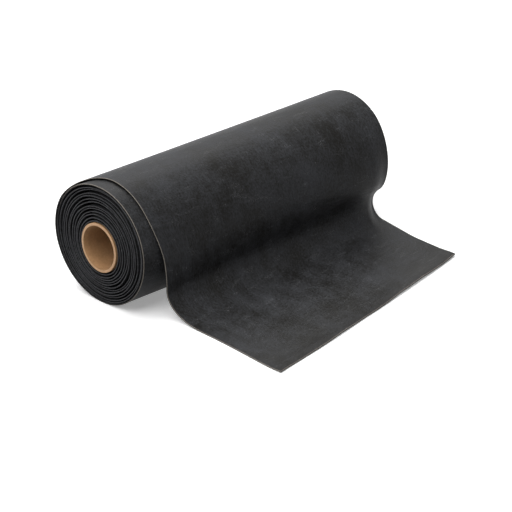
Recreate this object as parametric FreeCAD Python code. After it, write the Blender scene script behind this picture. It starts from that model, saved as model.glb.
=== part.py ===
import FreeCAD, Part
import os
from math import cos, radians, sin

# Roll of rubber roofing membrane on a cardboard core, lying on its side with
# its outer end pulled out in front of it as a flat tail.
#
# Frame, in millimetres: +X along the roll, from the end where the inner turns
# stand out to the end where the outermost turn overhangs.  -Y is the side that
# the tail runs to.  +Z is up, and the floor is z = 0.  The origin is on the
# floor, at the middle of the whole part's length and depth.

# Driving dimensions
SHEET_WIDTH = 369.0       # width of the membrane, along the roll
SHEET_THICK = 1.5         # 60 mil membrane
ROLL_RADIUS = 73.5        # outside of the outermost turn
OUTER_TURN_SHIFT = 25.0   # the outermost turn lies this much off the inner turns' end

CORE_BORE_RADIUS = 25.4   # two-inch core
CORE_WALL = 4.6
CORE_LENGTH = 369.0
CORE_FIT = 0.2            # clearance between core and innermost turn
CORE_DROP = 6.0           # the core hangs this much below the roll's own axis
CORE_SETBACK = 4.0        # and this much behind it

TURN_GAPS = 12            # gaps that show between the turns on each end
TURN_GAP_WIDTH = 1.2
TURN_GAP_DEPTH = 3.0

TAIL_REACH_NEAR = 279.0   # from the roll's axis to the tail's front edge, at -X
TAIL_REACH_FAR = 191.0    # the same at +X: the front edge was cut askew
HANG_LEAN_NEAR = -10.0    # degrees that the hanging sheet leans in under the roll, at -X
HANG_LEAN_FAR = 25.0      # the same at +X
FOOT_RADIUS_NEAR = 30.0   # bend where the hanging sheet turns onto the floor, at -X
FOOT_RADIUS_FAR = 12.0    # the same at +X
HANG_SPANS = 8            # straight-ruled spans that blend the -X section into the +X one
ROOT_BITE = 0.1           # how deep the hanging run starts in the outermost turn

# Places that follow from them
LENGTH = SHEET_WIDTH + OUTER_TURN_SHIFT
DEPTH = TAIL_REACH_NEAR + ROLL_RADIUS
INNER_X = -LENGTH / 2
OUTER_X = INNER_X + OUTER_TURN_SHIFT
AXIS_Y = DEPTH / 2 - ROLL_RADIUS
AXIS_Z = ROLL_RADIUS
CORE_RADIUS = CORE_BORE_RADIUS + CORE_WALL
CORE_Y = AXIS_Y + CORE_SETBACK
CORE_Z = AXIS_Z - CORE_DROP
BODY_RADIUS = ROLL_RADIUS - SHEET_THICK
SEAT_RADIUS = CORE_RADIUS + CORE_FIT

ALONG = FreeCAD.Vector(1, 0, 0)


def cylinder(radius, x, length, y=AXIS_Y, z=AXIS_Z):
    """A solid cylinder along X that starts at x."""
    return Part.makeCylinder(radius, length, FreeCAD.Vector(x, y, z), ALONG)


def ring(outer, inner, x, length, y, z):
    """A cylinder wall along X that starts at x."""
    return cylinder(outer, x, length, y, z).cut(cylinder(inner, x, length, y, z))


def turn_gap(index, x):
    """The gap outside turn number index, cut in from an end face.

    Its radius and its centre both move in even steps, from the core that hangs
    low in the roll to the roll's own axis.
    """
    share = index / (TURN_GAPS + 1)
    radius = SEAT_RADIUS + (BODY_RADIUS - SEAT_RADIUS) * share
    y = CORE_Y + (AXIS_Y - CORE_Y) * share
    z = CORE_Z + (AXIS_Z - CORE_Z) * share
    outer = radius + TURN_GAP_WIDTH / 2
    inner = radius - TURN_GAP_WIDTH / 2
    return ring(outer, inner, x, TURN_GAP_DEPTH, y, z)


def wound_turns():
    """All the turns as one turned solid with its bore and its turns on both ends."""
    inner_turns = cylinder(BODY_RADIUS, INNER_X, SHEET_WIDTH)
    outermost = ring(ROLL_RADIUS, BODY_RADIUS, OUTER_X, SHEET_WIDTH, AXIS_Y, AXIS_Z)
    bore = cylinder(SEAT_RADIUS, INNER_X, SHEET_WIDTH, CORE_Y, CORE_Z)
    cuts = [bore]
    for index in range(1, TURN_GAPS + 1):
        cuts.append(turn_gap(index, INNER_X))
        cuts.append(turn_gap(index, INNER_X + SHEET_WIDTH - TURN_GAP_DEPTH))
    return inner_turns.fuse(outermost).cut(cuts)


def hang_shape(share):
    """Points of the loose sheet's section, share of the way from -X to +X.

    The sheet leaves the outermost turn along a tangent, hangs straight and
    turns through the foot bend until it lies flat.
    """
    lean = radians(HANG_LEAN_NEAR + (HANG_LEAN_FAR - HANG_LEAN_NEAR) * share)
    foot = FOOT_RADIUS_NEAR + (FOOT_RADIUS_FAR - FOOT_RADIUS_NEAR) * share
    x = OUTER_X + SHEET_WIDTH * share
    outer_line = ROLL_RADIUS - ROOT_BITE
    inner_line = outer_line - SHEET_THICK

    def off_roll(radius, along):
        """A point at this distance from the axis, square to the hanging run."""
        forward = radius * cos(lean) - along * sin(lean)
        height = AXIS_Z - radius * sin(lean) - along * cos(lean)
        return FreeCAD.Vector(x, AXIS_Y - forward, height)

    # The foot bend's centre is one foot radius outside the hanging run and above the tail
    centre_height = SHEET_THICK + foot
    centre_along = (AXIS_Z - centre_height - (outer_line + foot) * sin(lean)) / cos(lean)
    centre = off_roll(outer_line + foot, centre_along)
    half_turned = lean - (radians(90) + lean) / 2

    def on_bend(radius, angle):
        """A point of a bend about that centre, at this angle above level."""
        return centre + FreeCAD.Vector(0, radius * cos(angle), radius * sin(angle))

    def bend(radius):
        """Start, middle and end of the bend, from the hanging run to the flat."""
        return on_bend(radius, lean), on_bend(radius, half_turned), on_bend(radius, -radians(90))

    return bend(foot), bend(foot + SHEET_THICK), off_roll(outer_line, 0), off_roll(inner_line, 0)


def hang_section(share):
    """Closed wire round the hanging run and the foot bend."""
    top, low, root_outer, root_inner = hang_shape(share)
    return Part.Wire([
        Part.makeLine(root_outer, top[0]),
        Part.Arc(*top).toShape(),
        Part.makeLine(top[2], low[2]),
        Part.Arc(low[2], low[1], low[0]).toShape(),
        Part.makeLine(low[0], root_inner),
        Part.makeLine(root_inner, root_outer),
    ])


def front_corner(share, reach):
    """A corner of the tail's front edge, on the floor."""
    return FreeCAD.Vector(OUTER_X + SHEET_WIDTH * share, AXIS_Y - reach, 0)


def tail():
    """The loose outer end of the sheet, from the outermost turn to its front edge."""
    shares = [step / HANG_SPANS for step in range(HANG_SPANS + 1)]
    hanging = Part.makeLoft([hang_section(share) for share in shares], True, True)
    floor_line = [hang_shape(share)[1][2] for share in shares]
    corners = [front_corner(1, TAIL_REACH_FAR), front_corner(0, TAIL_REACH_NEAR)]
    outline = Part.makePolygon(floor_line + corners + floor_line[:1])
    flat = Part.Face(outline).extrude(FreeCAD.Vector(0, 0, SHEET_THICK))
    return hanging.fuse(flat)


def rubber_membrane():
    """The whole membrane, wound turns and tail, as one piece."""
    return wound_turns().fuse(tail()).removeSplitter()


def cardboard_core():
    """The tube that the membrane is wound on."""
    return ring(CORE_RADIUS, CORE_BORE_RADIUS, INNER_X, CORE_LENGTH, CORE_Y, CORE_Z)


PIECES = {
    "rubber_membrane": rubber_membrane,
    "cardboard_core": cardboard_core,
}

os.makedirs("parts", exist_ok=True)
for name, make in PIECES.items():
    shape = make()
    shape.exportStep(f"parts/{name}.step")
    box = shape.BoundBox
    print(name, "solids", len(shape.Solids), "valid", shape.isValid(), "cm3", round(shape.Volume / 1000, 1))
    print("  from", round(box.XMin, 2), round(box.YMin, 2), round(box.ZMin, 2))
    print("  to  ", round(box.XMax, 2), round(box.YMax, 2), round(box.ZMax, 2))
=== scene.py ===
import math

import bpy
import numpy as np
from bpy.props import FloatProperty, FloatVectorProperty, PointerProperty
from mathutils import Matrix, Vector


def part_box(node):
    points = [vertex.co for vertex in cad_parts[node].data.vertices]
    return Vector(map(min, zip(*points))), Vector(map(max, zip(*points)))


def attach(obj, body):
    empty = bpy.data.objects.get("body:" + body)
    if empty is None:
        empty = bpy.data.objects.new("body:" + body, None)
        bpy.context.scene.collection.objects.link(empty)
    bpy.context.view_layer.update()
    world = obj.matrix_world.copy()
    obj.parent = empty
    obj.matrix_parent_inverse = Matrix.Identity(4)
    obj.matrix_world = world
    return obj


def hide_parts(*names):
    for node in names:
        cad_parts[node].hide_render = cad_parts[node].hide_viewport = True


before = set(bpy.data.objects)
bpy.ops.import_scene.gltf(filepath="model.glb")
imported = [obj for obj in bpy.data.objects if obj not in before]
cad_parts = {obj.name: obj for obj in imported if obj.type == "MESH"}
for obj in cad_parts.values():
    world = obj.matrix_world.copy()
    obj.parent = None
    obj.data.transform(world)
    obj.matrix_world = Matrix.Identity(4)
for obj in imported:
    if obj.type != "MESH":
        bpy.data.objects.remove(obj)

bl_info = {
    "name": "Rubber Roofing Membrane Roll",
    "version": (1, 0, 0),
    "blender": (4, 5, 0),
    "location": "3D View > Sidebar > Membrane Roll",
    "description": "Builds a part-unrolled roll of rubber roofing membrane on its cardboard core",
    "category": "Add Mesh",
}

MM = 0.001
CREASE = math.radians(50)    # sharper corners than this are shaded as edges
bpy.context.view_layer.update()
MEMBRANE_LOW, MEMBRANE_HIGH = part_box("rubber_membrane")
CORE_LOW, CORE_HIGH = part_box("cardboard_core")

# Places that the frame fixes
ROLL_RADIUS = (MEMBRANE_HIGH[2] - MEMBRANE_LOW[2]) / 2
ROLL_Y = MEMBRANE_HIGH[1] - ROLL_RADIUS
CORE_RADIUS = (CORE_HIGH[2] - CORE_LOW[2]) / 2
CORE_Y = (CORE_HIGH[1] + CORE_LOW[1]) / 2
CORE_Z = (CORE_HIGH[2] + CORE_LOW[2]) / 2
SHEET_WIDTH = CORE_HIGH[0] - CORE_LOW[0]
NEAR_X = MEMBRANE_LOW[0]
OUTER_TURN_SHIFT = MEMBRANE_HIGH[0] - CORE_HIGH[0]
TAIL_REACH_NEAR = ROLL_Y - MEMBRANE_LOW[1]


def linear(code):
    """Linear RGB of an sRGB hex colour."""
    parts = [int(code[i:i + 2], 16) / 255 for i in (1, 3, 5)]
    return [c / 12.92 if c <= 0.04045 else ((c + 0.055) / 1.055) ** 2.4 for c in parts]


# ---------------------------------------------------------------- settings

class MembraneSettings(bpy.types.PropertyGroup):
    """Sizes and colours of the rubber sheet."""
    thickness: FloatProperty(
        name="Thickness", description="Thickness of the sheet",
        default=1.5 * MM, unit="LENGTH")
    turns: FloatProperty(
        name="Turns", description="Turns from the core to the top of the outermost turn",
        default=13.3)
    recess: FloatProperty(
        name="Recess", description="How far the inner turns' edges lie behind the second turn's",
        default=2.4 * MM, unit="LENGTH")
    reach_far: FloatProperty(
        name="Far Reach", description="From the roll's axis to the front edge, at the far end",
        default=190 * MM, unit="LENGTH")
    skew: FloatProperty(
        name="Skew", description="How far the front edge lies off to the near side",
        default=6.5 * MM, unit="LENGTH")
    rubber: FloatVectorProperty(
        name="Rubber", description="Bare rubber", subtype="COLOR", default=linear("#171614"))
    dust: FloatVectorProperty(
        name="Dust", description="Rubber under its film of release dust", subtype="COLOR",
        default=linear("#3A3B3E"))
    # Pale upper corners of the free edges: partly rubbing, partly a painted highlight
    wear_and_highlight: FloatVectorProperty(
        name="Worn", description="Rubbed corners of the free edges", subtype="COLOR",
        default=linear("#8A847C"))
    powder: FloatVectorProperty(
        name="Powder", description="Specks of loose release powder", subtype="COLOR",
        default=linear("#8C8D8F"))
    edge: FloatVectorProperty(
        name="Free Edge", description="Slit edge where the sheet lies free", subtype="COLOR",
        default=linear("#1E1B19"))
    wound_edge: FloatVectorProperty(
        name="Wound Edge", description="Slit edge of the wound turns", subtype="COLOR",
        default=linear("#4C4C4F"))


class CoreSettings(bpy.types.PropertyGroup):
    """Sizes and colours of the cardboard tube."""
    wall: FloatProperty(
        name="Wall", description="Wall of the tube", default=4.6 * MM, unit="LENGTH")
    lip: FloatProperty(
        name="Lip", description="How far the bore flares at its ends", default=1.4 * MM,
        unit="LENGTH")
    ply_pitch: FloatProperty(
        name="Ply Pitch", description="Length of tube that one turn of a paper ply covers",
        default=112 * MM, unit="LENGTH")
    board: FloatVectorProperty(
        name="Board", description="Face of the paper plies", subtype="COLOR",
        default=linear("#AC845C"))
    rim: FloatVectorProperty(
        name="Rim", description="Sawn end of the tube", subtype="COLOR",
        default=linear("#DCB38C"))


class StageSettings(bpy.types.PropertyGroup):
    """Camera, floor and light."""
    azimuth: FloatProperty(
        name="Azimuth", description="Side that the camera looks from, counted from -Y",
        default=math.radians(-42.22), subtype="ANGLE")
    elevation: FloatProperty(
        name="Elevation", description="How far the camera looks down",
        default=math.radians(24.58), subtype="ANGLE")
    tilt: FloatProperty(
        name="Tilt", description="Roll of the camera", default=math.radians(-0.67),
        subtype="ANGLE")
    distance: FloatProperty(
        name="Distance", description="From the camera to its aim", default=5.775, unit="LENGTH")
    aim: FloatVectorProperty(
        name="Aim", description="Point that the camera looks at", subtype="XYZ",
        default=(-0.0377, 0.0141, 0.0375))
    lens: FloatProperty(name="Lens", description="Focal length in millimetres", default=351.5)
    floor: FloatVectorProperty(
        name="Floor", description="Floor as it is seen", subtype="COLOR", default=linear("#F4F4F4"))
    bounce: FloatVectorProperty(
        name="Bounce", description="Floor as it throws light back onto the roll", subtype="COLOR",
        default=linear("#A8A8A8"))


# ---------------------------------------------------------------- shapes in numpy

def ease(value, low, high):
    """0 below low, 1 above high, and 3q^2 - 2q^3 between them."""
    q = np.clip((value - low) / (high - low), 0, 1)
    return q * q * (3 - 2 * q)


def ripple(place, waves):
    """Sum of sine waves: each is (size, waves per unit of place, phase in waves)."""
    return sum(size * np.sin(2 * np.pi * (rate * place + phase)) for size, rate, phase in waves)


def running_sum(steps):
    """Running totals down the first axis, from zero."""
    return np.concatenate([np.zeros_like(steps[:1]), np.cumsum(steps, axis=0)])


def mesh_object(name, points, faces, slots=None):
    """A new object from points and quads, shaded smooth up to the crease angle."""
    mesh = bpy.data.meshes.new(name)
    mesh.from_pydata(points.tolist(), [], faces.tolist())
    if slots is not None:
        mesh.polygons.foreach_set("material_index", slots.astype(np.int32))
    mesh.polygons.foreach_set("use_smooth", np.ones(len(faces), bool))
    mesh.set_sharp_from_angle(angle=CREASE)
    mesh.update()
    piece = bpy.data.objects.new(name, mesh)
    bpy.context.scene.collection.objects.link(piece)
    return piece


def grid_faces(rows, columns):
    """Quads of a rows by columns grid of points, whose rows close on themselves."""
    row = np.arange(rows - 1)[:, None]
    column = np.arange(columns)[None, :]
    after = (column + 1) % columns
    corners = [row * columns + column, row * columns + after,
               (row + 1) * columns + after, (row + 1) * columns + column]
    return np.stack(np.broadcast_arrays(*corners), axis=-1).reshape(-1, 4)


def running_turns(turn, count):
    """Turn of each station along the sheet: the loose end stays at the last turn."""
    return np.concatenate([turn[:, 0], np.full(count - len(turn), turn[-1, 0])])


def point_attribute(piece, name, values):
    """Stores one vector for each point of the mesh."""
    layer = piece.data.attributes.new(name, "FLOAT_VECTOR", "POINT")
    layer.data.foreach_set("vector", np.ascontiguousarray(values, np.float32).ravel())


# ---------------------------------------------------------------- rubber sheet

# Width of the bevel along each slit edge, and the stations beside an edge: distances in from
# it, close together where the skin turns the corner and the turns' edges wave
BEVEL = 0.35 * MM
EDGE_STATIONS = np.array([0, 0.35, 1.1, 2.5, 5, 9, 14, 20, 28]) * MM
MIDDLE_STEPS = 13          # even steps between the two groups of edge stations
TURN_STATIONS = 76         # stations round one turn
TOP_ANGLE = np.pi / 2      # the wound part ends at the top of the roll

# Middle radii of the outer turns, at quarter turns before the top of the outermost one
OUTER_TURNS = np.array([-1.25, -1.0, -0.75, -0.5, -0.25, 0.0])
OUTER_RADII = ROLL_RADIUS - np.array([2.1, 2.4, 2.1, 1.3, 0.0, -0.5]) * MM
FIRST_RADIUS = CORE_RADIUS + 1.05 * MM    # the first turn's middle: half a sheet and a small gap
BODY_Z = ROLL_RADIUS - 0.55 * MM          # the bottom of the outermost turn meets the floor
TOP_Z = BODY_Z + OUTER_RADII[-1]

# Gap between turns: each wave is (size in metres, waves per turn, phase)
PITCH_WAVES = ((0.38 * MM, 0.47, 0.30), (0.36 * MM, 0.21, 0.75), (0.26 * MM, 0.93, 0.10))
BUMP_WAVES = ((0.10 * MM, 3.31, 0.2), (0.08 * MM, 5.17, 0.7), (0.05 * MM, 8.73, 0.4))
RECESS_WAVES = ((0.8 * MM, 0.31, 0.15), (0.55 * MM, 0.83, 0.62), (0.22 * MM, 2.37, 0.3))
# The bumps are larger by this share at both edges, and that fades over this distance
EDGE_BUMPS, EDGE_REACH = 1.5, 30 * MM
# The settled turns: how deep, how many turns before the top, and over how many turns
SETTLE_DEPTH, SETTLE_PLACE, SETTLE_SPREAD = 1.4 * MM, 1.95, 0.3
# How far turns stand off in front and at the back: in millimetres everywhere, in millimetres
# more at the near edge, and the distance over which that fades
BULGE, BULGE_NEAR, BULGE_REACH = 0.4, 2.2, 16 * MM
SLUMP, SLUMP_NEAR, SLUMP_REACH = 2.4, 4.4, 110 * MM
SLUMP_POWER = 1.5          # the slump grows with this power of the way out from the core
# Shares by which the front of the turns draws in, each growing from this distance across the
# sheet to the far edge, and the radii between which the drawing in sets in
SQUEEZES = ((0.057, 120 * MM), (0.03, 345 * MM))
SQUEEZED_RADII = (32 * MM, 62 * MM)
INNER_RECESS = 0.25        # share of the recess that the first turn on the core has
# The near edge of the outermost turn lies short of its offset, fading over this distance
NEAR_SLACK, NEAR_REACH = 5.5 * MM, 120 * MM
# Turns before the top between which the bulge sets in, the recess ends, and the outermost
# turn slides along the roll to its offset: in general, and at the near edge
BULGE_TURNS = (-1.3, -0.75)
RECESS_END = (-1.22, -0.98)
SLIDE_TURNS = (-0.45, -0.02)
NEAR_SLIDE_TURNS = (-0.17, 0.0)
# The slit edge lies free from this many turns before the top.  Its pale upper corner, partly
# rubbing and partly a painted highlight, sets in between these turns and fades over this
# distance in from the edge
FREE_TURNS = 1.2
WEAR_AND_HIGHLIGHT_TURNS = (-1.35, -1.15)
WEAR_AND_HIGHLIGHT_REACH = 0.75 * MM

# Rows of the loose end: round the roll, down the hanging run, through the foot, over the tail
ROUND_ROWS, HANG_ROWS, FOOT_ROWS, TAIL_ROWS = 45, 13, 41, 61
TAIL_CROWDING = 1.5        # above 1, the tail's rows lie closer towards the front edge
# Section of the loose end: the value at the near edge, its gain from there to the far edge,
# and its gain in the curl beside the far edge
ROUND_RADIUS = (0.9, -1.4, -6.1)    # millimetres past the roll's radius
LEAVE_ANGLE = (28, -42, -10)        # degrees from straight down, where it leaves the roll
HANG_ANGLE = (-2, -34, -16)         # the same, where the hanging run meets the foot
FOOT_LENGTH = (108, -44, -10)       # millimetres
# Shares of the width between which the curl sets in, and the radius draws in
CURL_PLACE = (0.92, 1.0)
DRAW_IN_PLACE = (0.45, 0.93)
# Powers of the way through the foot and of the way left: by the near edge it bends most at
# its start, and by the far edge past its middle
BEND_LATE = 0.58
BEND_EARLY, BEND_EARLY_LOSS = 2.4, 2.1
# The cut front edge: its waves (size, waves across the sheet, phase) and its bow
CUT_WAVES = ((0.5 * MM, 1.3, 0.1), (0.3 * MM, 3.1, 0.45), (0.15 * MM, 9.7, 0.2))
CUT_BOW = 4.2 * MM
# The tail's lift between the places where it rests: waves along and across it
TAIL_LIFT, TAIL_LIFT_START = 0.35 * MM, (10 * MM, 60 * MM)
TAIL_WAVE_LENGTH, TAIL_WAVE_LEAN = 170 * MM, 0.6
TAIL_WAVES_ALONG = ((1.0, 1.0, 0.1),)
TAIL_WAVES_ACROSS = ((1.0, 1.4, 0.3),)
# and of its far front corner and its front edge, by shares of the tail and of the width
CORNER_LIFT, CORNER_ALONG, CORNER_ACROSS = 1.3 * MM, (0.75, 1.0), (0.45, 0.8)
FRONT_LIFT, FRONT_ALONG = 0.6 * MM, (0.8, 1.0)
FRONT_WAVES = ((0.6, 2.6, 0.35), (0.4, 6.3, 0.1))
# Shift of the loose end along the roll and its narrowing, by the distance in front of the axis
DRIFT, DRIFT_SPAN = 2.6 * MM, (50 * MM, 110 * MM)
NARROWING, NARROWING_SPAN = 0.034, (40 * MM, 125 * MM)
SKEW_START = 150 * MM
SLACK_FALL = (25 * MM, 80 * MM)     # depths below the top over which the near slack ends


def across_stations():
    """Distances from the near edge, symmetric, with even steps between the two edge groups."""
    inner = EDGE_STATIONS[-1]
    middle = np.linspace(inner, SHEET_WIDTH - inner, MIDDLE_STEPS + 1)[1:-1]
    return np.concatenate([EDGE_STATIONS, middle, SHEET_WIDTH - EDGE_STATIONS[::-1]])


def fade(distance, reach):
    """1 at no distance, falling by a factor of e over each reach."""
    return np.exp(-distance / reach)


def across_sheet(values, place, curl):
    """Near value, plus its gain times the place across the sheet, plus its gain times the curl."""
    near, gain, curled = values
    return near + gain * place + curled * curl


def wound_turns(membrane, turn, across):
    """Middle surface of the wound turns.

    A spiral whose radius grows evenly with the turn and whose centre moves evenly
    from the core's axis to the roll's own.  Sine waves make the gaps uneven.  The
    outer turns follow their own radii, lie close on each other at the back, and
    the last one slides along the roll to its offset.
    """
    to_go = turn - membrane.turns
    share = np.clip(turn / (membrane.turns + OUTER_TURNS[0]), 0, 1)
    radius = FIRST_RADIUS + (OUTER_RADII[0] - FIRST_RADIUS) * share
    radius = np.where(to_go > OUTER_TURNS[0], np.interp(to_go, OUTER_TURNS, OUTER_RADII), radius)
    free = np.sin(np.pi * share) ** 0.5
    edges = fade(across, EDGE_REACH) + fade(SHEET_WIDTH - across, EDGE_REACH)
    radius = radius + ripple(turn, PITCH_WAVES) * free
    # The turns inside the second one have settled, which leaves a gap under its top
    radius = radius - SETTLE_DEPTH * np.exp(-((to_go + SETTLE_PLACE) / SETTLE_SPREAD) ** 2)
    radius = radius + ripple(turn, BUMP_WAVES) * free * (1 + EDGE_BUMPS * edges)
    angle = TOP_ANGLE + 2 * np.pi * to_go
    forward = -radius * np.cos(angle) + (ROLL_Y - CORE_Y) * (1 - share)
    z = CORE_Z + (BODY_Z - CORE_Z) * share + radius * np.sin(angle)
    # The second turn stands off in front, most at the near end
    bulge = (BULGE + BULGE_NEAR * fade(across, BULGE_REACH)) * MM
    forward = forward + bulge * ease(to_go, *BULGE_TURNS) * np.clip(-np.cos(angle), 0, 1)
    # The roll has slumped: its outer turns stand out at the back, most at the near end
    slump = (SLUMP + SLUMP_NEAR * fade(across, SLUMP_REACH)) * MM
    forward = forward - slump * share ** SLUMP_POWER * np.clip(np.cos(angle), 0, 1)
    # The turns ease in under the overhanging far end of the outermost one
    squeeze = sum(amount * ease(across, start, SHEET_WIDTH) for amount, start in SQUEEZES)
    squeeze = squeeze * ease(radius, *SQUEEZED_RADII)
    forward = np.where(forward > 0, forward * (1 - squeeze), forward)
    recess = membrane.recess + ripple(turn, RECESS_WAVES)
    recess = recess * (INNER_RECESS + (1 - INNER_RECESS) * share) * (1 - ease(to_go, *RECESS_END))
    near = fade(across, NEAR_REACH)
    slide = ease(to_go, *SLIDE_TURNS) * (1 - near) + ease(to_go, *NEAR_SLIDE_TURNS) * near
    x = NEAR_X + recess + (OUTER_TURN_SHIFT - NEAR_SLACK * near) * slide + across
    return np.stack(np.broadcast_arrays(x, ROLL_Y - forward, z), axis=-1)


def loose_end(membrane, across):
    """Middle surface of the sheet from the top of the roll to the front edge.

    Each station across the sheet is a path of unit speed.  Its direction, as the
    angle from straight down towards the front, falls at 1/radius round the roll,
    eases down the hanging run, turns up to level through the foot and stays level.
    """
    half = membrane.thickness / 2
    place = across / SHEET_WIDTH
    curl = ease(place, *CURL_PLACE)
    radius = ROLL_RADIUS + across_sheet(ROUND_RADIUS, ease(place, *DRAW_IN_PLACE), curl) * MM
    leave = np.radians(across_sheet(LEAVE_ANGLE, place, curl))
    hang = np.radians(across_sheet(HANG_ANGLE, place, curl))
    foot = across_sheet(FOOT_LENGTH, place, curl) * MM

    q = np.linspace(0, 1, ROUND_ROWS)[:, None]
    round_roll = np.pi / 2 + (leave - np.pi / 2) * q
    q = np.linspace(0, 1, HANG_ROWS)[:, None]
    down = leave + (hang - leave) * q
    q = np.linspace(0, 1, FOOT_ROWS)[:, None]
    late = (q[1:] + q[:-1]) ** (BEND_LATE * place)
    early = (2 - q[1:] - q[:-1]) ** (BEND_EARLY - BEND_EARLY_LOSS * place)
    bend = running_sum(late * early)
    up = hang + (np.pi / 2 - hang) * bend / bend[-1]

    def path(angle, length):
        """Forward and downward distances along a stretch of this length."""
        step = length / (len(angle) - 1)
        forward = (np.sin(angle[1:]) + np.sin(angle[:-1])) / 2 * step
        fall = (np.cos(angle[1:]) + np.cos(angle[:-1])) / 2 * step
        return running_sum(forward), running_sum(fall)

    # The hanging run is as long as it takes for the foot to end on the floor
    roll_forward, roll_fall = path(round_roll, radius * (np.pi / 2 - leave))
    foot_forward, foot_fall = path(up, foot)
    unit_forward, unit_fall = path(down, np.ones_like(across))
    hang_length = (TOP_Z - half - roll_fall[-1] - foot_fall[-1]) / unit_fall[-1]
    hang_forward = unit_forward * hang_length
    hang_fall = unit_fall * hang_length

    foot_start = roll_forward[-1] + hang_forward[-1]
    flat_start = foot_start + foot_forward[-1]
    slant = TAIL_REACH_NEAR + (membrane.reach_far - TAIL_REACH_NEAR) * place
    cut = ripple(place, CUT_WAVES) + CUT_BOW * np.sin(np.pi * place)
    q = 1 - np.linspace(1, 0, TAIL_ROWS)[1:, None] ** TAIL_CROWDING
    flat_forward = flat_start + (slant + cut - flat_start) * q
    forward = np.concatenate([
        roll_forward, roll_forward[-1] + hang_forward[1:],
        foot_start + foot_forward[1:], flat_forward])
    fall = np.concatenate([
        roll_fall, roll_fall[-1] + hang_fall[1:],
        roll_fall[-1] + hang_fall[-1] + foot_fall[1:], np.full_like(flat_forward, TOP_Z - half)])
    z = TOP_Z - fall

    # The flat tail is not quite flat: it lifts a little between the places where it rests
    out = forward - flat_start
    done = out / (slant - flat_start)
    waves = ripple(out / TAIL_WAVE_LENGTH + place * TAIL_WAVE_LEAN, TAIL_WAVES_ALONG)
    waves = waves * ripple(place, TAIL_WAVES_ACROSS)
    lift = TAIL_LIFT * (1 + waves) * ease(out, *TAIL_LIFT_START)
    lift = lift + CORNER_LIFT * ease(done, *CORNER_ALONG) * ease(place, *CORNER_ACROSS)
    # and its front edge rises and falls by about a millimetre
    front_waves = 1 + ripple(place, FRONT_WAVES)
    lift = lift + FRONT_LIFT * front_waves * ease(done, *FRONT_ALONG)
    drift = DRIFT * ease(forward, *DRIFT_SPAN)
    drift = drift - membrane.skew * ease(forward, SKEW_START, TAIL_REACH_NEAR)
    narrowing = NARROWING * ease(forward, *NARROWING_SPAN)
    slack = NEAR_SLACK * fade(across, NEAR_REACH) * (1 - ease(fall, *SLACK_FALL))
    x = NEAR_X + OUTER_TURN_SHIFT - slack + drift + across * (1 - narrowing)
    return np.stack(np.broadcast_arrays(x, ROLL_Y - forward, z + lift), axis=-1)[1:]


def thick_sheet(middle, across, thickness):
    """Closed skin round a middle surface, with narrow bevels along its two slit edges.

    The loop of points round the sheet's section is the top stations, the far edge,
    the bottom stations backwards and the near edge, each moved along the surface's
    normal by its share of the thickness.  Returns the skin's points, and for each of
    its columns the number of its station across the sheet and how far it is moved.
    """
    along = np.gradient(middle, axis=0)
    over = np.gradient(middle, across, axis=1)
    normal = np.cross(along, over)
    normal /= np.linalg.norm(normal, axis=2, keepdims=True)
    inside = np.arange(1, len(across) - 1)
    station = np.concatenate([inside, [len(across) - 1] * 2, inside[::-1], [0, 0]])
    side = thickness / 2 - BEVEL
    lift = np.concatenate([
        np.full(len(inside), thickness / 2), [side, -side],
        np.full(len(inside), -thickness / 2), [-side, side]])
    skin = middle[:, station] + normal[:, station] * lift[:, None]
    return skin, station, lift


# ---------------------------------------------------------------- cardboard tube

# Stations round the tube, along half of its outside and of its bore, round the corner of its
# rim and over the flare
CORE_AROUND, OUTSIDE_STATIONS, BORE_STATIONS, CORNER_STATIONS, FLARE_STATIONS = 144, 12, 30, 5, 6
RIM_ROUNDING = 0.4 * MM
FLARE_LENGTH = 8 * MM


# ---------------------------------------------------------------- materials

def add_node(tree, kind, inputs=None, **settings):
    """Adds a node with its settings.  Each input takes another node's output, or a value."""
    node = tree.nodes.new(kind)
    for key, value in settings.items():
        setattr(node, key, value)
    for key, value in (inputs or {}).items():
        if isinstance(value, bpy.types.NodeSocket):
            tree.links.new(value, node.inputs[key])
        else:
            node.inputs[key].default_value = value
    return node


def new_material(name):
    """An empty node material, and its tree."""
    material = bpy.data.materials.new(name)
    material.use_nodes = True
    tree = material.node_tree
    tree.nodes.clear()
    return material, tree


def opaque(colour, share=1.0):
    """A colour times a share, with its alpha."""
    return (*[c * share for c in colour], 1)


# Numbers of the two colour inputs and the colour output of a Mix node
FIRST, SECOND, RESULT = 6, 7, 2

# Patterns on the rubber: size across the sheet in millimetres, how much longer they are
# along it, detail, roughness and distortion.  The calender's pimples are 0.5 mm apart and
# the loose powder is finer than 0.1 mm: both are drawn coarser, so that they show
RUBBER_PATTERNS = {
    "patches": (110, 1.5, 4, 0.55, 0),
    "clouds": (28, 1.2, 10, 0.75, 0),
    "streaks": (3, 14, 4, 0.6, 0),
    "grain": (2.2, 1.4, 4, 0.75, 0),
    "powder": (1.5, 0.6, 3, 0.6, 0),
    "drifts": (24, 0.35, 5, 0.6, 0.6),
    "creases": (70, 0.15, 3, 0.5, 0),
}
# The film of dust: patches, plus these shares of the other patterns
FILM_SHARES = (("clouds", 1.5), ("streaks", 0.35), ("grain", 1.9))
# Painted shade: over this last stretch before the front edge the dust film thins by this much,
# which darkens the front of the tail
FRONT_SHADE_LENGTH = 130 * MM
FRONT_SHADE_FILM = -0.3


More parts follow.
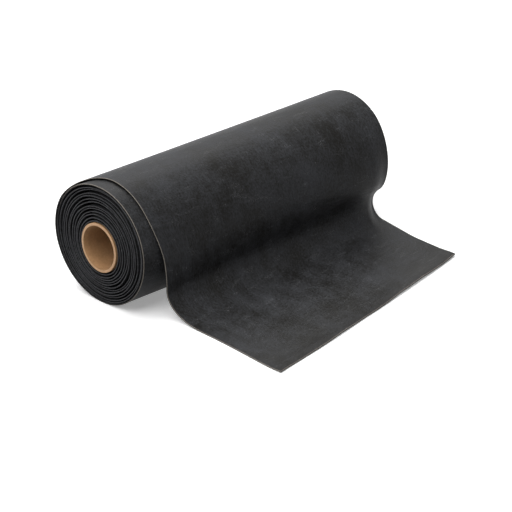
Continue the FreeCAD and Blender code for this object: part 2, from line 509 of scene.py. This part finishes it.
def epdm_rubber(membrane, length):
    """Calendered EPDM sheet, dusted with mica so that its turns don't stick.

    Nearly black rubber under an uneven film of dust: cloudy patches, faint streaks
    drawn out along the sheet, fine pimples from the calender and specks of loose
    powder in drifts.  It is dark face on and paler where it is seen at a low angle.
    """
    material, tree = new_material("dusted EPDM rubber")
    place = add_node(tree, "ShaderNodeAttribute", attribute_name="sheet_place").outputs["Vector"]
    split = add_node(tree, "ShaderNodeSeparateXYZ", {"Vector": place}).outputs
    noise = {}
    for name, (size, stretch, detail, roughness, distortion) in RUBBER_PATTERNS.items():
        drawn = add_node(tree, "ShaderNodeMapping", {"Vector": place, "Scale": (1 / stretch, 1, 0)})
        noise[name] = add_node(tree, "ShaderNodeTexNoise", {
            "Vector": drawn.outputs[0], "Scale": 1 / (size * MM), "Detail": detail,
            "Roughness": roughness, "Distortion": distortion}).outputs[0]

    film = noise["patches"]
    for name, share in FILM_SHARES:
        film = add_node(tree, "ShaderNodeMath", {0: noise[name], 1: share, 2: film},
                        operation="MULTIPLY_ADD").outputs[0]
    # Painted shade: less dust over the last stretch before the front edge darkens the front of the
    # tail
    front_shade = add_node(tree, "ShaderNodeMapRange", {
        "Value": split["X"], "From Min": length - FRONT_SHADE_LENGTH, "From Max": length,
        "To Max": FRONT_SHADE_FILM}).outputs[0]
    film = add_node(tree, "ShaderNodeMath", {0: film, 1: front_shade}, operation="ADD").outputs[0]
    dust = add_node(tree, "ShaderNodeMapRange", {
        "Value": film, "From Min": 2.05, "From Max": 2.8}).outputs[0]
    colour = add_node(tree, "ShaderNodeMix", {
        "Factor": dust, FIRST: opaque(membrane.rubber), SECOND: opaque(membrane.dust)},
        data_type="RGBA").outputs[RESULT]

    # Loose powder: pale specks, where its drifts lie
    specks = add_node(tree, "ShaderNodeMapRange", {
        "Value": noise["powder"], "From Min": 0.53, "From Max": 0.7}).outputs[0]
    where = add_node(tree, "ShaderNodeMapRange", {
        "Value": noise["drifts"], "From Min": 0.55, "From Max": 0.72, "To Max": 0.7}).outputs[0]
    powder = add_node(tree, "ShaderNodeMath", {0: specks, 1: where},
                      operation="MULTIPLY").outputs[0]
    colour = add_node(tree, "ShaderNodeMix", {
        "Factor": powder, FIRST: colour, SECOND: opaque(membrane.powder)},
        data_type="RGBA").outputs[RESULT]

    # The upper corners of the free edges are pale, unevenly: partly rubbing, partly a painted
    # highlight
    edge_wear_and_highlight = add_node(tree, "ShaderNodeMath", {0: noise["grain"], 1: 0.5, 2: split["Z"]},
                      operation="MULTIPLY_ADD").outputs[0]
    edge_wear_and_highlight = add_node(tree, "ShaderNodeMapRange", {
        "Value": edge_wear_and_highlight, "From Min": 0.55, "From Max": 1.15}).outputs[0]
    colour = add_node(tree, "ShaderNodeMix", {
        "Factor": edge_wear_and_highlight, FIRST: colour, SECOND: opaque(membrane.wear_and_highlight)},
        data_type="RGBA").outputs[RESULT]

    # Dust dulls the surface.  It is pimpled, faintly fluted along and softly creased across
    rough = add_node(tree, "ShaderNodeMapRange", {
        "Value": dust, "To Min": 0.38, "To Max": 0.62}).outputs[0]
    fine = add_node(tree, "ShaderNodeBump", {
        "Height": noise["grain"], "Strength": 0.5, "Distance": 0.4 * MM}).outputs[0]
    flutes = add_node(tree, "ShaderNodeBump", {
        "Height": noise["streaks"], "Normal": fine, "Strength": 0.3,
        "Distance": 0.3 * MM}).outputs[0]
    creases = add_node(tree, "ShaderNodeBump", {
        "Height": noise["creases"], "Normal": flutes, "Strength": 0.35,
        "Distance": 1.5 * MM}).outputs[0]
    shader = add_node(tree, "ShaderNodeBsdfPrincipled", {
        "Base Color": colour, "Roughness": rough, "Normal": creases, "IOR": 1.18})
    add_node(tree, "ShaderNodeOutputMaterial", {"Surface": shader.outputs[0]})
    return material


def cut_rubber_edge(membrane, free_from):
    """Slit edge of the sheet: rough, grey on the wound turns, dark brown where it lies free.

    The free part starts at this distance along the sheet.  Its upper corner is pale: partly
    rubbing, partly a painted highlight.
    """
    material, tree = new_material("slit rubber edge")
    place = add_node(tree, "ShaderNodeTexCoord").outputs["Object"]
    laid = add_node(tree, "ShaderNodeAttribute", attribute_name="sheet_place").outputs["Vector"]
    split = add_node(tree, "ShaderNodeSeparateXYZ", {"Vector": laid}).outputs
    free = add_node(tree, "ShaderNodeMapRange", {
        "Value": split["X"], "From Min": free_from - 30 * MM, "From Max": free_from}).outputs[0]
    base = add_node(tree, "ShaderNodeMix", {
        "Factor": free, FIRST: opaque(membrane.wound_edge), SECOND: opaque(membrane.edge)},
        data_type="RGBA").outputs[RESULT]
    # Painted highlight, partly rubbing: the upper corner of the edge is pale
    corner = add_node(tree, "ShaderNodeMapRange", {
        "Value": split["Z"], "From Min": 0.6, "From Max": 0.9}).outputs[0]
    base = add_node(tree, "ShaderNodeMix", {
        "Factor": corner, FIRST: base, SECOND: opaque(membrane.wear_and_highlight)},
        data_type="RGBA").outputs[RESULT]
    # Crumbs left by the slitting knife, 2 to 4 mm apart
    crumbs = add_node(tree, "ShaderNodeTexNoise", {
        "Vector": place, "Scale": 1 / (3 * MM), "Detail": 4, "Roughness": 0.6}).outputs[0]
    shade = add_node(tree, "ShaderNodeMapRange", {
        "Value": crumbs, "From Min": 0.35, "From Max": 0.7, "To Min": 0.55,
        "To Max": 1.25}).outputs[0]
    colour = add_node(tree, "ShaderNodeVectorMath", {0: base, "Scale": shade},
                      operation="SCALE").outputs[0]
    bump = add_node(tree, "ShaderNodeBump", {
        "Height": crumbs, "Strength": 0.4, "Distance": 0.3 * MM}).outputs[0]
    shader = add_node(tree, "ShaderNodeBsdfPrincipled", {
        "Base Color": colour, "Normal": bump, "Roughness": 0.7, "IOR": 1.2})
    add_node(tree, "ShaderNodeOutputMaterial", {"Surface": shader.outputs[0]})
    return material


def tube_coordinates(tree):
    """Object coordinates moved to the tube's axis, with x, and the distance and turn round it."""
    place = add_node(tree, "ShaderNodeTexCoord").outputs["Object"]
    centred = add_node(tree, "ShaderNodeMapping", {
        "Vector": place, "Location": (0, -CORE_Y, -CORE_Z)}).outputs[0]
    split = add_node(tree, "ShaderNodeSeparateXYZ", {"Vector": centred}).outputs
    flat = add_node(tree, "ShaderNodeCombineXYZ", {"Y": split["Y"], "Z": split["Z"]}).outputs[0]
    radius = add_node(tree, "ShaderNodeVectorMath", {0: flat}, operation="LENGTH").outputs["Value"]
    angle = add_node(tree, "ShaderNodeMath", {0: split["Z"], 1: split["Y"]},
                     operation="ARCTAN2").outputs[0]
    turn = add_node(tree, "ShaderNodeMath", {0: angle, 1: 2 * math.pi},
                    operation="DIVIDE").outputs[0]
    return centred, split["X"], radius, turn


def kraft_board(core):
    """Spiral-wound kraft board: matt brown paper with fine fibres and one ply seam.

    The seam is a helix, drawn where x over its pitch plus the turn round the tube
    comes to a whole number.
    """
    material, tree = new_material("spiral-wound kraft board")
    place, x, _, turn = tube_coordinates(tree)
    fibre = add_node(tree, "ShaderNodeTexNoise", {
        "Vector": place, "Scale": 1 / (2.4 * MM), "Detail": 5, "Roughness": 0.65}).outputs[0]
    blotch = add_node(tree, "ShaderNodeTexNoise", {
        "Vector": place, "Scale": 1 / (25 * MM), "Detail": 3}).outputs[0]
    both = add_node(tree, "ShaderNodeMath", {0: fibre, 1: blotch}, operation="ADD").outputs[0]
    shade = add_node(tree, "ShaderNodeMapRange", {
        "Value": both, "From Min": 0.75, "From Max": 1.25}).outputs[0]
    colour = add_node(tree, "ShaderNodeMix", {
        "Factor": shade, FIRST: opaque(core.board, 0.72), SECOND: opaque(core.board)},
        data_type="RGBA").outputs[RESULT]
    helix = add_node(tree, "ShaderNodeMath", {0: x, 1: 1 / core.ply_pitch, 2: turn},
                     operation="MULTIPLY_ADD").outputs[0]
    saw = add_node(tree, "ShaderNodeMath", {0: helix}, operation="FRACT").outputs[0]
    # The seam is 1.5 mm wide, and the ply beyond it stands a little proud
    seam = add_node(tree, "ShaderNodeMapRange", {
        "Value": saw, "From Min": 1.5 * MM / core.ply_pitch, "From Max": 0, "To Min": 0,
        "To Max": 0.6}).outputs[0]
    colour = add_node(tree, "ShaderNodeMix", {
        "Factor": seam, FIRST: colour, SECOND: opaque(core.board, 0.35)},
        data_type="RGBA").outputs[RESULT]
    bump = add_node(tree, "ShaderNodeBump", {
        "Height": fibre, "Strength": 0.35, "Distance": 0.25 * MM}).outputs[0]
    step = add_node(tree, "ShaderNodeBump", {
        "Height": saw, "Normal": bump, "Strength": 0.8, "Distance": 0.4 * MM}).outputs[0]
    shader = add_node(tree, "ShaderNodeBsdfPrincipled", {
        "Base Color": colour, "Normal": step, "Roughness": 0.8, "IOR": 1.45})
    add_node(tree, "ShaderNodeOutputMaterial", {"Surface": shader.outputs[0]})
    return material


def sawn_board(core):
    """Sawn end of the tube: pale and fuzzy, with the plies showing as rings."""
    material, tree = new_material("sawn kraft board")
    place, _, radius, _ = tube_coordinates(tree)
    fibre = add_node(tree, "ShaderNodeTexNoise", {
        "Vector": place, "Scale": 1 / (1.8 * MM), "Detail": 4, "Roughness": 0.65}).outputs[0]
    # Plies are 0.5 mm thick; their rings are drawn 1.3 mm apart so that they show
    wave = add_node(tree, "ShaderNodeMath", {0: radius, 1: 2 * math.pi / (1.3 * MM)},
                    operation="MULTIPLY").outputs[0]
    ring = add_node(tree, "ShaderNodeMath", {0: wave}, operation="SINE").outputs[0]
    both = add_node(tree, "ShaderNodeMath", {0: ring, 1: 0.12, 2: fibre},
                    operation="MULTIPLY_ADD").outputs[0]
    shade = add_node(tree, "ShaderNodeMapRange", {
        "Value": both, "From Min": 0.3, "From Max": 0.7}).outputs[0]
    colour = add_node(tree, "ShaderNodeMix", {
        "Factor": shade, FIRST: opaque(core.rim, 0.7), SECOND: opaque(core.rim)},
        data_type="RGBA").outputs[RESULT]
    bump = add_node(tree, "ShaderNodeBump", {
        "Height": both, "Strength": 0.4, "Distance": 0.3 * MM}).outputs[0]
    shader = add_node(tree, "ShaderNodeBsdfPrincipled", {
        "Base Color": colour, "Normal": bump, "Roughness": 0.85, "IOR": 1.45})
    add_node(tree, "ShaderNodeOutputMaterial", {"Surface": shader.outputs[0]})
    return material


def seen_rays(tree):
    """1 for the rays that show the floor and the backdrop: camera, glossy and transmission."""
    rays = add_node(tree, "ShaderNodeLightPath").outputs
    seen = rays["Is Camera Ray"]
    for kind in ("Is Glossy Ray", "Is Transmission Ray"):
        seen = add_node(tree, "ShaderNodeMath", {0: seen, 1: rays[kind]},
                        operation="MAXIMUM").outputs[0]
    return seen


# ---------------------------------------------------------------- stage

# Lamps: name, place, size in metres and power in watts
LAMPS = (
    ("top", (-0.45, 0.05, 1.9), 2.2, 40),
    ("key", (-1.35, -0.2, 1.15), 0.8, 8),
    ("back", (0.6, 1.05, 1.6), 1.3, 22),
)
WORLD_LEVEL = 0.12    # light of the even world, where 1 is its white as it is seen
FLOOR_REACH = 6.0     # metres from the middle to each side
GLOW_START, GLOW_END, GLOW_NEAR = 0.4, 1.4, 0.3    # two distances, and the glow within the first
CAMERA_REACH = 100    # metres that the camera sees


# ---------------------------------------------------------------- operators

class BuildMembrane(bpy.types.Operator):
    """Builds the rubber sheet, wound turns and loose end, as one skin"""
    bl_idname = "membrane_roll.build_membrane"
    bl_label = "Rubber Membrane"

    def execute(self, context):
        membrane = context.scene.membrane_settings
        across = across_stations()
        turn = np.linspace(0, membrane.turns, int(membrane.turns * TURN_STATIONS))[:, None]
        middle = np.concatenate([
            wound_turns(membrane, turn, across[None, :]), loose_end(membrane, across[None, :])])
        skin, station, lift = thick_sheet(middle, across, membrane.thickness)
        rows, columns = skin.shape[:2]
        faces = grid_faces(rows, columns)[:, ::-1]
        # The slit faces start at the upper corner of the far edge and the lower of the near one
        far_edge, near_edge = len(across) - 2, columns - 2
        on_edge = np.isin(np.arange(columns), [far_edge, near_edge])
        slots = np.tile(on_edge, rows - 1)
        # The two cut ends are closed by quads between the top and bottom stations
        loop = np.arange(columns)
        upper = np.concatenate([[columns - 1], loop[:far_edge + 1]])
        lower = np.concatenate([[near_edge], loop[far_edge + 1:near_edge][::-1]])
        cap = np.stack([upper[:-1], upper[1:], lower[1:], lower[:-1]], axis=-1)
        faces = np.concatenate([faces, cap, cap[:, ::-1] + (rows - 1) * columns])
        slots = np.concatenate([slots, np.ones(2 * len(cap), bool)])
        piece = mesh_object("rubber_sheet", skin.reshape(-1, 3), faces, slots)
        steps = np.linalg.norm(np.diff(middle[:, len(across) // 2], axis=0), axis=1)
        along = running_sum(steps)
        # Where each point lies on the sheet, and how pale the free upper corner is there: partly
        # rubbing, partly a painted highlight
        to_edge = np.minimum(across, SHEET_WIDTH - across)[station][None, :]
        to_edge = np.minimum(to_edge, (along[-1] - along)[:, None])
        to_go = running_turns(turn, len(along))[:, None] - membrane.turns
        corner_wear_and_highlight = fade(to_edge, WEAR_AND_HIGHLIGHT_REACH) * ease(to_go, *WEAR_AND_HIGHLIGHT_TURNS) * (lift > 0)
        place = np.broadcast_arrays(along[:, None], across[station][None, :], corner_wear_and_highlight)
        point_attribute(piece, "sheet_place", np.stack(place, axis=-1))
        piece.data.materials.append(epdm_rubber(membrane, float(along[-1])))
        free_from = float(along[np.searchsorted(turn[:, 0], membrane.turns - FREE_TURNS)])
        piece.data.materials.append(cut_rubber_edge(membrane, free_from))
        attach(piece, "root")
        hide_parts("rubber_membrane")
        # The cut: a strip as wide as the core is long, whose front edge runs off at a slant
        return {"FINISHED"}


class BuildCore(bpy.types.Operator):
    """Builds the spiral-wound cardboard tube"""
    bl_idname = "membrane_roll.build_core"
    bl_label = "Cardboard Core"

    def execute(self, context):
        core = context.scene.core_settings
        around = np.linspace(0, 2 * np.pi, CORE_AROUND, endpoint=False)[None, :]
        # Half of the wall's section, from mid length out to the far rim and back along the
        # bore; the sawn rim is crisp outside, and the bore flares by the lip just inside it
        half = (CORE_HIGH[0] - CORE_LOW[0]) / 2
        outer, inner = CORE_RADIUS, CORE_RADIUS - core.wall
        bend = np.linspace(0, np.pi / 2, CORNER_STATIONS)
        q = np.linspace(0, 1, FLARE_STATIONS)
        outside = np.linspace(0, half - RIM_ROUNDING, OUTSIDE_STATIONS)[1:-1]
        bore = np.linspace(half - FLARE_LENGTH, 0, BORE_STATIONS)[1:-1]
        x = np.concatenate([
            outside, half - RIM_ROUNDING + RIM_ROUNDING * np.sin(bend),
            half - FLARE_LENGTH * q, bore])
        radius = np.concatenate([
            np.full(len(outside), outer), outer - RIM_ROUNDING + RIM_ROUNDING * np.cos(bend),
            inner + core.lip * (1 - q) ** 2, np.full(len(bore), inner)])
        x = np.concatenate([x, -x[::-1]])
        radius = np.concatenate([radius, radius[::-1]])
        middle_x = (CORE_HIGH[0] + CORE_LOW[0]) / 2
        y = CORE_Y + radius[:, None] * np.cos(around)
        z = CORE_Z + radius[:, None] * np.sin(around)
        points = np.stack(np.broadcast_arrays(middle_x + x[:, None], y, z), axis=-1)
        # The last row of quads comes back to the first row of points
        rows, columns = points.shape[:2]
        faces = grid_faces(rows + 1, columns) % (rows * columns)
        rim_x = half - 0.5 * RIM_ROUNDING
        on_rim = (np.abs(x) > rim_x) & (np.abs(np.roll(x, -1)) > rim_x)
        slots = np.repeat(on_rim, columns)
        piece = mesh_object("cardboard_tube", points.reshape(-1, 3), faces, slots)
        piece.data.materials.append(kraft_board(core))
        piece.data.materials.append(sawn_board(core))
        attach(piece, "root")
        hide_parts("cardboard_core")
        return {"FINISHED"}


class BuildStage(bpy.types.Operator):
    """Lays the floor, hangs the lights and sets up the camera"""
    bl_idname = "membrane_roll.build_stage"
    bl_label = "Stage"

    def execute(self, context):
        stage = context.scene.stage_settings
        scene = context.scene
        scene.view_settings.view_transform = "Standard"
        self.lay_floor(stage)
        self.light(scene)
        self.place_camera(scene, stage)
        return {"FINISHED"}

    def lay_floor(self, stage):
        """A wide level floor that reads as white and keeps the shadow."""
        corners = FLOOR_REACH * np.array([[-1, -1, 0], [1, -1, 0], [1, 1, 0], [-1, 1, 0]])
        floor = mesh_object("studio_floor", corners, np.array([[0, 1, 2, 3]]))
        material, tree = new_material("white studio floor")
        seen = seen_rays(tree)
        paint = add_node(tree, "ShaderNodeMix", {
            "Factor": seen, FIRST: opaque(stage.bounce), SECOND: opaque(stage.floor)},
            data_type="RGBA").outputs[RESULT]
        lit = add_node(tree, "ShaderNodeBsdfDiffuse", {"Color": paint})
        # The floor glows more with the distance from the roll, up to the backdrop's white
        place = add_node(tree, "ShaderNodeTexCoord").outputs["Object"]
        away = add_node(tree, "ShaderNodeVectorMath", {0: place},
                        operation="LENGTH").outputs["Value"]
        rise = add_node(tree, "ShaderNodeMapRange", {
            "Value": away, "From Min": GLOW_START, "From Max": GLOW_END, "To Min": GLOW_NEAR,
            "To Max": 1}).outputs[0]
        level = add_node(tree, "ShaderNodeMath", {0: rise, 1: seen},
                         operation="MULTIPLY").outputs[0]
        glow = add_node(tree, "ShaderNodeEmission", {"Color": (1, 1, 1, 1), "Strength": level})
        both = add_node(tree, "ShaderNodeAddShader", {0: lit.outputs[0], 1: glow.outputs[0]})
        add_node(tree, "ShaderNodeOutputMaterial", {"Surface": both.outputs[0]})
        floor.data.materials.append(material)

    def light(self, scene):
        """A wide lamp overhead, a small one off the near end, one behind, and an even world."""
        world = bpy.data.worlds.new("studio")
        scene.world = world
        world.use_nodes = True
        tree = world.node_tree
        tree.nodes.clear()
        level = add_node(tree, "ShaderNodeMapRange", {
            "Value": seen_rays(tree), "To Min": WORLD_LEVEL, "To Max": 1}).outputs[0]
        glow = add_node(tree, "ShaderNodeBackground", {"Color": (1, 1, 1, 1), "Strength": level})
        add_node(tree, "ShaderNodeOutputWorld", {"Surface": glow.outputs[0]})
        aim = Vector((0, ROLL_Y, ROLL_RADIUS))
        for name, spot, size, power in LAMPS:
            lamp = bpy.data.lights.new(name, "AREA")
            lamp.shape = "SQUARE"
            lamp.size = size
            lamp.energy = power
            holder = bpy.data.objects.new(name, lamp)
            holder.location = spot
            holder.rotation_euler = (aim - Vector(spot)).to_track_quat("-Z", "Y").to_euler()
            scene.collection.objects.link(holder)

    def place_camera(self, scene, stage):
        """The camera looks at its aim from its azimuth, elevation and distance."""
        camera = bpy.data.objects.new("camera", bpy.data.cameras.new("camera"))
        scene.collection.objects.link(camera)
        camera.data.lens = stage.lens
        camera.data.clip_end = CAMERA_REACH
        a, e = stage.azimuth, stage.elevation
        back = Vector((math.sin(a) * math.cos(e), -math.cos(a) * math.cos(e), math.sin(e)))
        aim = Vector(stage.aim)
        turn = (-back).to_track_quat("-Z", "Y").to_matrix() @ Matrix.Rotation(stage.tilt, 3, "Z")
        camera.matrix_world = Matrix.Translation(aim + back * stage.distance) @ turn.to_4x4()
        scene.camera = camera


class MembraneRollPanel(bpy.types.Panel):
    """Lists the pieces"""
    bl_idname = "VIEW3D_PT_membrane_roll"
    bl_label = "Membrane Roll"
    bl_space_type = "VIEW_3D"
    bl_region_type = "UI"
    bl_category = "Membrane Roll"

    def draw(self, context):
        for operator in (BuildMembrane, BuildCore, BuildStage):
            self.layout.operator(operator.bl_idname)


CLASSES = (MembraneSettings, CoreSettings, StageSettings, BuildMembrane, BuildCore, BuildStage,
           MembraneRollPanel)


def register():
    for cls in CLASSES:
        bpy.utils.register_class(cls)
    bpy.types.Scene.membrane_settings = PointerProperty(type=MembraneSettings)
    bpy.types.Scene.core_settings = PointerProperty(type=CoreSettings)
    bpy.types.Scene.stage_settings = PointerProperty(type=StageSettings)


def unregister():
    del bpy.types.Scene.stage_settings
    del bpy.types.Scene.core_settings
    del bpy.types.Scene.membrane_settings
    for cls in reversed(CLASSES):
        bpy.utils.unregister_class(cls)


def main():
    register()
    bpy.ops.membrane_roll.build_membrane()
    bpy.ops.membrane_roll.build_core()
    bpy.ops.membrane_roll.build_stage()


if __name__ == "__main__":
    main()
